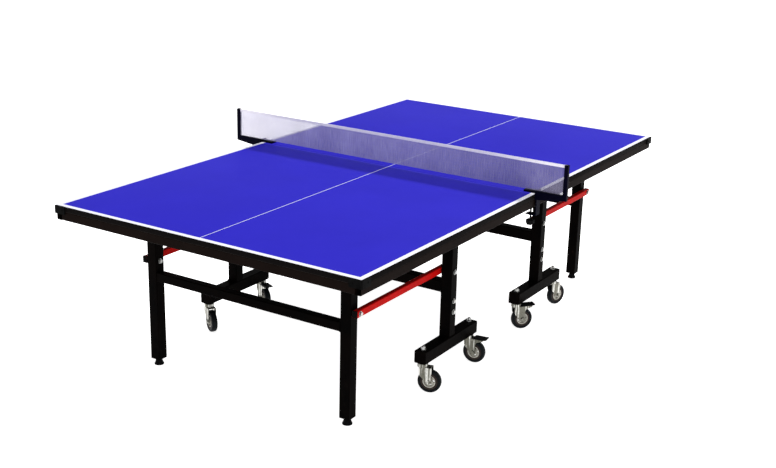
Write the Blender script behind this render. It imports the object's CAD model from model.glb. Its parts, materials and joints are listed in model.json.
import json
import math
import bmesh
import bpy
from mathutils import Matrix, Vector


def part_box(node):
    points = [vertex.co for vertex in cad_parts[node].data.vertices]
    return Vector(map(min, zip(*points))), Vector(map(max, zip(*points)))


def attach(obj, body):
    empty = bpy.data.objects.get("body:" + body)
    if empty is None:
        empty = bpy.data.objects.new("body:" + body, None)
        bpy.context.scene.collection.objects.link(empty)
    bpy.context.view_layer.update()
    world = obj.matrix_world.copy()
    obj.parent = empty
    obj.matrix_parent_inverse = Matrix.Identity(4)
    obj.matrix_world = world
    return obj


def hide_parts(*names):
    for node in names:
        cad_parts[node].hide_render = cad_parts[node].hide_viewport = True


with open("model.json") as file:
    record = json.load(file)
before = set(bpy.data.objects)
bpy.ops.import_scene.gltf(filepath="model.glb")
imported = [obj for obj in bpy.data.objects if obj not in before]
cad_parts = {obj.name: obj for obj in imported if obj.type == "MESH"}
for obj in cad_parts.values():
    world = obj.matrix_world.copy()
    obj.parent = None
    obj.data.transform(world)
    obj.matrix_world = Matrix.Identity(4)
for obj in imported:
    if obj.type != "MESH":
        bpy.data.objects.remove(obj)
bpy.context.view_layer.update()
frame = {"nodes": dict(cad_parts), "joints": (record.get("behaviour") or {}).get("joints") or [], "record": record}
joints = {j["name"]: j for j in frame["joints"]}
halves = ("a", "b")
sides = ("right", "left")
casterTags = [h + str(i) for h in halves for i in range(1, 5)]
print("frame loaded:", len(frame["nodes"]), "nodes")


class Shade:
    def __init__(self, tree, socket=None):
        self.tree, self.socket = tree, socket

    def node(self, kind, settings=None, values=None, out=0):
        made = self.tree.nodes.new(kind)
        for name, value in (settings or {}).items():
            setattr(made, name, value)
        for name, value in (values or {}).items():
            self.put(made.inputs[name], value)
        return Shade(self.tree, made.outputs[out])

    def put(self, socket, value):
        if isinstance(value, Shade):
            self.tree.links.new(value.socket, socket)
        elif hasattr(value, "__len__") and len(value) == 3 and socket.type == "RGBA":
            socket.default_value = (*value, 1)
        else:
            socket.default_value = value

    def maths(self, operation, *values):
        return self.node("ShaderNodeMath", {"operation": operation}, dict(enumerate(values)))

    def __add__(self, other):
        return self.maths("ADD", self, other)

    def __radd__(self, other):
        return self.maths("ADD", other, self)

    def __sub__(self, other):
        return self.maths("SUBTRACT", self, other)

    def __rsub__(self, other):
        return self.maths("SUBTRACT", other, self)

    def __mul__(self, other):
        return self.maths("MULTIPLY", self, other)

    def __rmul__(self, other):
        return self.maths("MULTIPLY", other, self)

    def __truediv__(self, other):
        return self.maths("DIVIDE", self, other)

    def __gt__(self, other):
        return self.maths("GREATER_THAN", self, other)

    def __lt__(self, other):
        return self.maths("LESS_THAN", self, other)

    def __abs__(self):
        return self.maths("ABSOLUTE", self)


def place(sh):  # object coordinates, in metres
    return sh.node("ShaderNodeTexCoord", out=3)


def parts(sh, vector):
    split = sh.tree.nodes.new("ShaderNodeSeparateXYZ")
    sh.put(split.inputs[0], vector)
    return [Shade(sh.tree, o) for o in split.outputs]


def noise(sh, at, scale, detail=3.0):
    return sh.node("ShaderNodeTexNoise", {},
                   {"Vector": at, "Scale": scale, "Detail": detail, "Roughness": 0.55})


def ramp(sh, value, low, high, to=(0.0, 1.0)):  # a number from one range to another, clamped
    return sh.node("ShaderNodeMapRange", {"clamp": True},
                   {"Value": value, "From Min": low, "From Max": high, "To Min": to[0], "To Max": to[1]})


def mix(sh, factor, a, b):  # two colours
    return sh.node("ShaderNodeMix", {"data_type": "RGBA"}, {0: factor, 6: a, 7: b}, out=2)


def stretch(sh, vector, by):  # a place or a colour times three numbers
    return sh.node("ShaderNodeVectorMath", {"operation": "MULTIPLY"}, {0: vector, 1: by})


def bump(sh, height, strength, distance):
    return sh.node("ShaderNodeBump", {}, {"Strength": strength, "Distance": distance, "Height": height})


def tinted(colour, *by):  # a colour times one number or three
    return tuple(c * f for c, f in zip(colour, by if len(by) == 3 else by * 3))


def linear(red, green, blue):  # a screen colour, 0 to 255, as the shader wants it
    return tuple(((c / 255 + 0.055) / 1.055) ** 2.4 if c > 10 else c / 255 / 12.92
                 for c in (red, green, blue))


def material(name, build, colour, **fixed):
    made = bpy.data.materials.new(name)
    made.use_nodes = True
    tree = made.node_tree
    shader = tree.nodes["Principled BSDF"]
    for socket, value in fixed.items():
        shader.inputs[socket.replace("_", " ")].default_value = value
    made.diffuse_color = (*colour, 1)
    sh = Shade(tree)
    for socket, value in build(sh, colour).items():
        sh.put(shader.inputs[socket], value)
    return made


paint = {"line": 0.020, "centreLine": 0.003, "lip": 0.0012, "edgeDown": 0.0240,
         "blue": linear(46, 41, 180), "white": linear(232, 232, 240),
         "edge": linear(13, 11, 11), "under": linear(44, 40, 38)}


def boardFinish(sh, colour):
    at = place(sh)
    x, y, z = parts(sh, at)
    halfLength, halfWidth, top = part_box("board_b")[1]
    sideLine = abs(y) > halfWidth - paint["line"]
    endLine = abs(x) > halfLength - paint["line"]
    middle = abs(y) < paint["centreLine"] / 2
    lines = sh.maths("MAXIMUM", sh.maths("MAXIMUM", sideLine, endLine), middle)
    cloud = ramp(sh, noise(sh, at, 3.0, 4), 0.3, 0.7)
    rolled = noise(sh, at, 900, 2)
    blue = mix(sh, cloud, tinted(colour, 0.95), tinted(colour, 1.04))
    worn = ramp(sh, noise(sh, stretch(sh, at, (1, 4, 1)), 26, 8), 0.62, 0.75)
    white = mix(sh, worn * 0.25, paint["white"], tinted(paint["white"], 0.86))
    face = mix(sh, lines, blue, white)
    onTop = z > top - paint["lip"]
    below = z < top - paint["edgeDown"]
    side = mix(sh, below, paint["edge"], paint["under"])
    rough = ramp(sh, rolled, 0.3, 0.7, (0.40, 0.52)) + lines * 0.06
    return {"Base Color": mix(sh, onTop, side, face), "Roughness": rough,
            "Normal": bump(sh, rolled, 0.10, 0.0004)}


powder = {"warm": (2.4, 1.6, 1.3), "rail": (8.0, 5.6, 4.6),  # how much paler the coat is, by colour
          "railFrom": 0.690, "railTo": 0.700}  # heights between which the rails start


def powderFinish(sh, colour):
    at = place(sh)
    x, y, z = parts(sh, at)
    peel = noise(sh, at, 1100, 2)
    warm = ramp(sh, noise(sh, at, 9, 5), 0.35, 0.70)
    dust = ramp(sh, noise(sh, at, 40, 6), 0.45, 0.80) * ramp(sh, z, 0.45, 0.0)
    scuff = ramp(sh, noise(sh, stretch(sh, at, (1, 1, 0.15)), 240, 4), 0.69, 0.73) * ramp(sh, z, 0.30, 0.02)
    rail = ramp(sh, z, powder["railFrom"], powder["railTo"])
    base = mix(sh, warm, colour, tinted(colour, *powder["warm"]))
    base = mix(sh, rail * (warm * 0.3 + 0.7), base, tinted(colour, *powder["rail"]))
    base = mix(sh, dust * 0.05, base, linear(60, 52, 46))
    base = mix(sh, scuff * 0.30, base, linear(80, 75, 70))
    return {"Base Color": base, "Roughness": ramp(sh, peel, 0.3, 0.7, (0.34, 0.46)) + dust * 0.2,
            "Normal": bump(sh, peel, 0.16, 0.0005)}


def clampFinish(sh, colour):
    at = place(sh)
    peel = noise(sh, at, 1100, 2)
    tone = ramp(sh, noise(sh, at, 24, 5), 0.35, 0.70)
    base = mix(sh, tone, colour, tinted(colour, 1.8, 1.6, 1.4))
    return {"Base Color": base, "Roughness": ramp(sh, peel, 0.3, 0.7, (0.38, 0.50)),
            "Normal": bump(sh, peel, 0.16, 0.0005)}


def redFinish(sh, colour):
    at = place(sh)
    peel = noise(sh, at, 1000, 2)
    tone = ramp(sh, noise(sh, at, 14, 5), 0.35, 0.7)
    base = mix(sh, tone, tinted(colour, 0.86), tinted(colour, 1.12))
    return {"Base Color": base, "Roughness": ramp(sh, peel, 0.3, 0.7, (0.30, 0.42)),
            "Normal": bump(sh, peel, 0.14, 0.0005)}


def zincFinish(sh, colour):
    at = place(sh)
    grain = noise(sh, stretch(sh, at, (1, 1, 0.12)), 700, 3)
    bloom = ramp(sh, noise(sh, at, 55, 5), 0.35, 0.7)
    base = mix(sh, bloom, colour, tinted(colour, 0.88, 0.86, 0.78))
    grime = ramp(sh, noise(sh, at, 130, 6), 0.60, 0.78)
    return {"Base Color": mix(sh, grime * 0.4, base, linear(70, 64, 58)),
            "Roughness": ramp(sh, grain, 0.3, 0.7, (0.20, 0.34)) + grime * 0.2,
            "Normal": bump(sh, grain, 0.08, 0.0003)}


def forkFinish(sh, colour):
    at = place(sh)
    drawn = noise(sh, stretch(sh, at, (1, 1, 0.05)), 120, 2)
    fine = noise(sh, at, 800, 3)
    bright = ramp(sh, drawn, 0.52, 0.60)
    grime = ramp(sh, noise(sh, at, 110, 6), 0.50, 0.75)
    base = mix(sh, bright, colour, linear(206, 206, 200))
    base = mix(sh, grime * 0.45, base, linear(58, 54, 48))
    return {"Base Color": base, "Roughness": ramp(sh, fine, 0.3, 0.7, (0.24, 0.38)) + grime * 0.2,
            "Normal": bump(sh, drawn, 0.15, 0.0004)}


def mouldedFinish(sh, colour):
    at = place(sh)
    grain = sh.node("ShaderNodeTexVoronoi", {}, {"Vector": at, "Scale": 1500.0})
    soft = noise(sh, at, 60, 4)
    base = mix(sh, ramp(sh, soft, 0.35, 0.7), colour, tuple(c * 1.7 + 0.002 for c in colour))
    return {"Base Color": base, "Roughness": ramp(sh, soft, 0.3, 0.7, (0.42, 0.58)),
            "Normal": bump(sh, grain, 0.12, 0.0003)}


def rubberFinish(sh, colour):
    at = place(sh)
    fine = noise(sh, at, 1400, 3)
    scuff = ramp(sh, noise(sh, at, 120, 6), 0.50, 0.74)
    base = mix(sh, scuff * 0.35, colour, linear(42, 41, 42))
    return {"Base Color": base, "Roughness": ramp(sh, fine, 0.3, 0.7, (0.40, 0.54)) + scuff * 0.2,
            "Normal": bump(sh, fine, 0.15, 0.0003)}


def hubFinish(sh, colour):
    at = place(sh)
    fine = noise(sh, at, 900, 3)
    grime = ramp(sh, noise(sh, at, 90, 6), 0.45, 0.75)
    base = mix(sh, grime * 0.55, colour, linear(74, 60, 50))
    return {"Base Color": base, "Roughness": ramp(sh, fine, 0.3, 0.7, (0.34, 0.5)) + grime * 0.15,
            "Normal": bump(sh, fine, 0.1, 0.0003)}


weave = {"pitch": 0.0030, "clear": 0.26,  # spacing of the yarns, and the share of the mesh that is open
         "yarn": linear(160, 154, 188), "pale": linear(202, 196, 220),
         "dim": (0.45, 0.45, 0.5175), "dimFrom": -0.10, "dimTo": -0.80}  # darker towards the right side


def netFinish(sh, colour):
    at = place(sh)
    x, y, z = parts(sh, at)
    half = weave["pitch"] / 2
    solid = 1 - math.sqrt(weave["clear"])
    across = sh.maths("PINGPONG", y, half) / half
    upward = sh.maths("PINGPONG", z, half) / half
    hole = (across > solid) * (upward > solid)
    streak = ramp(sh, noise(sh, stretch(sh, at, (1, 1, 0.06)), 300, 4), 0.34, 0.68)
    soft = ramp(sh, noise(sh, stretch(sh, at, (1, 1, 0.5)), 7, 3), 0.3, 0.7)
    base = mix(sh, streak * 0.6 + soft * 0.4, tinted(colour, 0.72), weave["pale"])
    away = ramp(sh, y, weave["dimFrom"], weave["dimTo"])
    base = mix(sh, away, base, stretch(sh, base, weave["dim"]))
    return {"Base Color": base, "Roughness": 0.8, "Alpha": 1 - hole,
            "Normal": bump(sh, streak, 0.3, 0.001)}


webbing = {"rib": 0.0016, "row": 0.0011}  # spacing of the woven ribs and rows


def webbingFinish(sh, colour):
    at = place(sh)
    x, y, z = parts(sh, at)
    rib = sh.maths("SINE", y * (math.tau / webbing["rib"]))
    row = sh.maths("SINE", z * (math.tau / webbing["row"]))
    height = rib * row
    tint = ramp(sh, noise(sh, at, 60, 5), 0.3, 0.75)
    base = mix(sh, tint, colour, tinted(colour, 0.82))
    base = mix(sh, ramp(sh, height, -1, 1), tinted(colour, 0.8), base)
    return {"Base Color": base, "Roughness": 0.85, "Normal": bump(sh, height, 0.35, 0.0005)}


finishes = {
    "board": material("boardPaint", boardFinish, paint["blue"], Specular_IOR_Level=0.005),
    "frame": material("blackPowder", powderFinish, linear(3, 2.6, 2.6), Specular_IOR_Level=0.006),
    "protector": material("blackProtector", mouldedFinish, linear(4, 4, 4), Specular_IOR_Level=0.012),
    "bolt": material("brightZinc", zincFinish, linear(168, 169, 170), Metallic=1.0),
    "link": material("redPowder", redFinish, linear(168, 12, 10), Specular_IOR_Level=0.012),
    "levelling": material("blackFoot", mouldedFinish, linear(4, 4, 5), Specular_IOR_Level=0.03),
    "mesh": material("netMesh", netFinish, weave["yarn"], Specular_IOR_Level=0.1, Sheen_Weight=0.3),
    "tape": material("whiteWebbing", webbingFinish, linear(250, 246, 255), Specular_IOR_Level=0.15,
                     Sheen_Weight=0.4),
    "clamp": material("clampPowder", clampFinish, linear(3, 3, 16), Specular_IOR_Level=0.012),
    "pad": material("blackPad", rubberFinish, linear(22, 22, 23), Specular_IOR_Level=0.3),
    "knob": material("blackKnob", mouldedFinish, linear(4, 4, 5), Specular_IOR_Level=0.03),
    "fork": material("pressedZinc", forkFinish, linear(104, 103, 94), Metallic=1.0),
    "hub": material("greyHub", hubFinish, linear(176, 174, 164), Specular_IOR_Level=0.5),
    "tyre": material("darkTyre", rubberFinish, linear(7, 12, 15), Specular_IOR_Level=0.07),
    "pedal": material("blackPedal", mouldedFinish, linear(4, 4, 5), Specular_IOR_Level=0.03),
}
rimBrown = material("brownRim", rubberFinish, linear(40, 31, 27), Specular_IOR_Level=0.12)
slotOf = {s["node"]: s["material_slot"] for s in frame["record"]["subparts"]}
bodyOf = {n: b for b, names in frame["record"]["behaviour"]["bodies"].items() for n in names}
for name, o in frame["nodes"].items():
    o.data.materials.clear()
    o.data.materials.append(finishes[slotOf[name]])
print("finishes made:", len(finishes))


def piece(name, bm, slot, body, stands=(), smooth=35):  # smooth: corners past this many degrees stay sharp
    mesh = bpy.data.meshes.new(name)
    bm.to_mesh(mesh)
    bm.free()
    o = bpy.data.objects.new(name, mesh)
    bpy.context.scene.collection.objects.link(o)
    mesh.materials.append(finishes[slot])
    mesh.shade_smooth()
    mesh.set_sharp_from_angle(angle=math.radians(smooth))
    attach(o, body)
    if stands:
        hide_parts(*stands)
    return o


def softened(node, width, segments=2):  # the CAD piece with its edges broken
    bm = bmesh.new()
    bm.from_mesh(frame["nodes"][node].data)
    bmesh.ops.remove_doubles(bm, verts=bm.verts, dist=1e-6)
    bmesh.ops.dissolve_limit(bm, angle_limit=math.radians(1.5), verts=bm.verts, edges=bm.edges)
    o = piece(node + "_soft", bm, slotOf[node], bodyOf[node], (node,), smooth=40)
    edge = o.modifiers.new("edge", "BEVEL")
    edge.width = width
    edge.segments = segments
    edge.limit_method = "ANGLE"
    edge.angle_limit = math.radians(38)
    edge.harden_normals = True
    return o


def box(bm, low, high):
    middle = [(a + b) / 2 for a, b in zip(low, high)]
    size = [b - a for a, b in zip(low, high)]
    bmesh.ops.create_cube(bm, size=1, matrix=Matrix.Translation(middle) @ Matrix.Diagonal((*size, 1)))


def rounded(bm, width, segments):
    bmesh.ops.bevel(bm, geom=list(bm.edges), offset=width, segments=segments, profile=0.5, affect="EDGES",
                    material=-1)


boardEdge = {"corner": 0.0010, "segments": 3}
for h in halves:
    low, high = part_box(f"board_{h}")
    bm = bmesh.new()
    box(bm, low, high)
    rounded(bm, boardEdge["corner"], boardEdge["segments"])
    piece(f"boardPanel_{h}", bm, "board", f"table_top_{h}", (f"board_{h}",))
print("boards done")


netYarn = {"pitch": 0.0125, "radius": 0.00045, "cells": (60, 6), "tapeEdge": 0.0008}
low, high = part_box("net_mesh")
upright = Matrix.Translation((0, 0, (low.z + high.z) / 2)) @ Matrix.Rotation(math.pi / 2, 4, "Y")
bm = bmesh.new()
bmesh.ops.create_grid(bm, x_segments=netYarn["cells"][0], y_segments=netYarn["cells"][1], size=0.5,
                      matrix=upright @ Matrix.Diagonal((high.z - low.z, high.y - low.y, 1, 1)))
netSheet = piece("netSheet", bm, "mesh", "net", ("net_mesh",))


def thread(bm, start, end, radius):
    way = end - start
    turn = way.to_track_quat("Z", "Y").to_matrix().to_4x4()
    bmesh.ops.create_cone(bm, segments=5, radius1=radius, radius2=radius, depth=way.length, cap_ends=True,
                          matrix=Matrix.Translation((start + end) / 2) @ turn)


bm = bmesh.new()
columns = int((high.y - low.y) / netYarn["pitch"])
rows = int((high.z - low.z) / netYarn["pitch"])
for i in range(1, columns):
    y = low.y + (high.y - low.y) * i / columns
    thread(bm, Vector((0, y, low.z)), Vector((0, y, high.z)), netYarn["radius"])
for i in range(1, rows):
    z = low.z + (high.z - low.z) * i / rows
    thread(bm, Vector((0, low.y, z)), Vector((0, high.y, z)), netYarn["radius"])
netThreads = piece("netThreads", bm, "mesh", "net")

netTape = softened("net_tape", netYarn["tapeEdge"])
print("net done:", columns, "by", rows)


wheelLook = {"radius": 0.052, "width": 0.028, "inner": 0.0281, "step": 0.0388, "sunk": 0.0020,
             "crown": 0.4, "steps": 72}  # crown: a lower power makes the tread flatter
rimLook = {"inner": 0.0286, "outer": 0.0373, "thick": 0.0010, "proud": 0.0008, "steps": 60}
casterEdges = {"fork": 0.0007, "hub": 0.0006, "pedal": 0.0012}


def wheelPlace(tag):  # turns a wheel made about +Y at the origin into its place
    joint = joints[f"roll_{tag}"]
    axis = Vector(joint["axis"]).normalized()
    across = axis.cross(Vector((0, 0, 1)))
    turn = Matrix((across, axis, Vector((0, 0, 1)))).transposed().to_4x4()
    return Matrix.Translation(joint["pos_m"]) @ turn


def spun(bm, profile, steps):  # closed profile of (radius, along) about Y
    points = [bm.verts.new((r, y, 0)) for r, y in profile]
    loop = [bm.edges.new((a, b)) for a, b in zip(points, points[1:] + points[:1])]
    bmesh.ops.spin(bm, geom=points + loop, cent=(0, 0, 0), axis=(0, 1, 0), angle=math.tau, steps=steps,
                   use_merge=True, use_duplicate=False)
    bmesh.ops.remove_doubles(bm, verts=bm.verts, dist=1e-6)
    bmesh.ops.recalc_face_normals(bm, faces=bm.faces)


def tyreProfile():  # closed, with small steps round the corners
    r, w, inner, step = wheelLook["radius"], wheelLook["width"] / 2, wheelLook["inner"], wheelLook["step"]
    floor = w - wheelLook["sunk"]
    side = [(inner, floor), (step - 0.0012, floor), (step - 0.0004, w - 0.0012), (step + 0.0004, w - 0.0003)]
    wall = step + 0.0014
    turns = [math.radians(d) for d in range(-78, 79, 12)]
    crown = [(wall + (r - wall) * math.cos(t) ** wheelLook["crown"], w * math.sin(t)) for t in turns]
    return [(radius, -along) for radius, along in side] + crown + side[::-1]


def rimProfile(s):  # moulded ring that covers the step of the tyre
    low = wheelLook["width"] / 2 - wheelLook["sunk"] - rimLook["thick"]
    high = low + rimLook["thick"] + rimLook["proud"]
    a, b = rimLook["inner"], rimLook["outer"]
    outline = [(a, low), (a, high - 0.0004), (a + 0.0005, high),
               (b - 0.0015, high), (b, high - 0.0007), (b, low)]
    return [(radius, s * along) for radius, along in outline]


for tag in casterTags:
    bm = bmesh.new()
    spun(bm, tyreProfile(), wheelLook["steps"])
    bm.transform(wheelPlace(tag))
    piece(f"tyre_{tag}", bm, "tyre", f"wheel_{tag}", (f"caster_tyre_{tag}",), smooth=50)
    bm = bmesh.new()
    for s in (-1, 1):
        spun(bm, rimProfile(s), rimLook["steps"])
    bm.transform(wheelPlace(tag))
    rim = piece(f"rim_{tag}", bm, "tyre", f"wheel_{tag}", smooth=40)
    rim.data.materials.clear()
    rim.data.materials.append(rimBrown)
    for part, width in casterEdges.items():
        if f"caster_{part}_{tag}" in frame["nodes"]:
            softened(f"caster_{part}_{tag}", width)
print("casters done")


weld = {"radius": 0.0026, "step": 0.0042}
post = {"w": 0.050, "d": 0.052, "foot": 0.190, "tieZ": 0.415, "tieH": 0.050}  # of the wheeled frames
leg = {"x": 1.070, "inset": 0.050, "brace": 0.040, "braceZ": 0.419}


def weldRing(bm, centre, size):  # beads round a tube end, in the plane of the two sizes that aren't nought
    across, up = (Vector([v if i == n else 0 for i in range(3)]) / 2 for n, v in enumerate(size) if v)
    corners = [Vector(centre) + across * a + up * b for a, b in ((-1, -1), (1, -1), (1, 1), (-1, 1))]
    for start, end in zip(corners, corners[1:] + corners[:1]):
        count = round((end - start).length / weld["step"])
        for i in range(count):
            at = Matrix.Translation(start.lerp(end, (i + 0.5) / count))
            bmesh.ops.create_icosphere(bm, subdivisions=1, radius=weld["radius"], matrix=at)


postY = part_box("wheeled_frame_b")[1].y - post["d"] / 2
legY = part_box("leg_frame_b")[1].y - leg["inset"]
for h, s in (("a", -1), ("b", 1)):
    postX = joints[f"link_fold_{h}"]["pos_m"][0]
    bm = bmesh.new()
    for t in (-1, 1):
        weldRing(bm, (postX, t * postY, post["foot"]), (post["w"], post["d"], 0))
        weldRing(bm, (postX, t * (postY - post["d"] / 2), post["tieZ"]), (post["w"], 0, post["tieH"]))
    piece(f"frameWelds_{h}", bm, "frame", f"under_frame_{h}")
    bm = bmesh.new()
    for t in (-1, 1):
        weldRing(bm, (leg["x"] * s, t * legY, leg["braceZ"]), (leg["brace"], 0, leg["brace"]))
    piece(f"legWelds_{h}", bm, "frame", f"legs_{h}")
print("welds done")


linkCap = {"thick": 0.0042, "over": 0.0006, "size": (0.024, 0.030), "soft": 0.0020}
for h in halves:
    low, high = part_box(f"links_{h}")
    bm = bmesh.new()
    halfY, halfZ = (v / 2 + linkCap["over"] for v in linkCap["size"])
    middleZ = (low.z + high.z) / 2
    for t in (-1, 1):
        middleY = t * (high.y - linkCap["size"][0] / 2)
        for end, inward in ((low.x, 1), (high.x, -1)):
            ends = sorted((end - inward * linkCap["over"], end + inward * linkCap["thick"]))
            box(bm, (ends[0], middleY - halfY, middleZ - halfZ), (ends[1], middleY + halfY, middleZ + halfZ))
    rounded(bm, linkCap["soft"], 3)
    piece(f"linkCaps_{h}", bm, "link", f"fold_links_{h}").data.materials[0] = finishes["protector"]
small = {"clamp": 0.0010, "pad": 0.0012, "knob": 0.0020, "protector": 0.0016, "bolt": 0.0007, "foot": 0.0012}
for s in sides:
    softened(f"net_clamp_{s}", small["clamp"])
    softened(f"clamp_pad_{s}", small["pad"])
    softened(f"clamp_screw_{s}", small["knob"], 3)
for h in halves:
    softened(f"corner_protectors_{h}", small["protector"], 3)
    softened(f"frame_bolts_{h}", small["bolt"])
    softened(f"link_bolts_{h}", small["bolt"])
    for s in sides:
        softened(f"levelling_foot_{h}_{s}", small["foot"])
print("small parts done")


studio = {"floor": 60, "floorColour": linear(252, 252, 252), "floorGlow": 0.85, "world": 0.60,
          "sun": {"at": (3.60, 0.40, 3.45), "aim": 0, "spread": 9, "power": 2.9},
          "fill": {"at": (-4.5, -5.0, 3.6), "aim": 0.5, "size": 3.5, "power": 110}}


def floorFinish(sh, colour):
    return {"Roughness": ramp(sh, noise(sh, place(sh), 2, 3), 0.3, 0.7, (0.75, 0.85))}


bm = bmesh.new()
bmesh.ops.create_grid(bm, x_segments=1, y_segments=1, size=studio["floor"])
mesh = bpy.data.meshes.new("floor")
bm.to_mesh(mesh)
bm.free()
floor = bpy.data.objects.new("floor", mesh)
bpy.context.scene.collection.objects.link(floor)
mesh.materials.append(material("paleFloor", floorFinish, studio["floorColour"],
                               Base_Color=(*studio["floorColour"], 1), Specular_IOR_Level=0.1,
                               Emission_Color=(1, 1, 1, 1), Emission_Strength=studio["floorGlow"]))

world = bpy.data.worlds.new("studio")
bpy.context.scene.world = world
world.use_nodes = True
world.node_tree.nodes["Background"].inputs[0].default_value = (1, 1, 1, 1)
world.node_tree.nodes["Background"].inputs[1].default_value = studio["world"]
sun = bpy.data.lights.new("sun", "SUN")
sun.energy = studio["sun"]["power"]
sun.angle = math.radians(studio["sun"]["spread"])
fill = bpy.data.lights.new("fill", "AREA")
fill.energy = studio["fill"]["power"]
fill.size = studio["fill"]["size"]
for lamp in (sun, fill):
    at = Vector(studio[lamp.name]["at"])
    o = bpy.data.objects.new(lamp.name, lamp)
    o.location = at
    o.rotation_euler = (Vector((0, 0, studio[lamp.name]["aim"])) - at).to_track_quat("-Z", "Y").to_euler()
    bpy.context.scene.collection.objects.link(o)

eye = {"at": (-4.7938, -3.0312, 2.2662), "ahead": (0.80393, 0.50813, -0.30902),
       "right": (0.5407, -0.8409, 0.0240), "lens": 57.65, "sensor": 36, "farthest": 100}
lens = bpy.data.cameras.new("camera")
lens.lens = eye["lens"]
lens.sensor_width = eye["sensor"]
lens.clip_end = eye["farthest"]
camera = bpy.data.objects.new("camera", lens)
ahead = Vector(eye["ahead"]).normalized()
right = Vector(eye["right"])
right = (right - ahead * right.dot(ahead)).normalized()
turn = Matrix((right, right.cross(ahead), -ahead)).transposed().to_4x4()
camera.matrix_world = Matrix.Translation(eye["at"]) @ turn
bpy.context.scene.collection.objects.link(camera)
bpy.context.scene.camera = camera
bpy.context.scene.view_settings.view_transform = "Standard"
print("studio done")
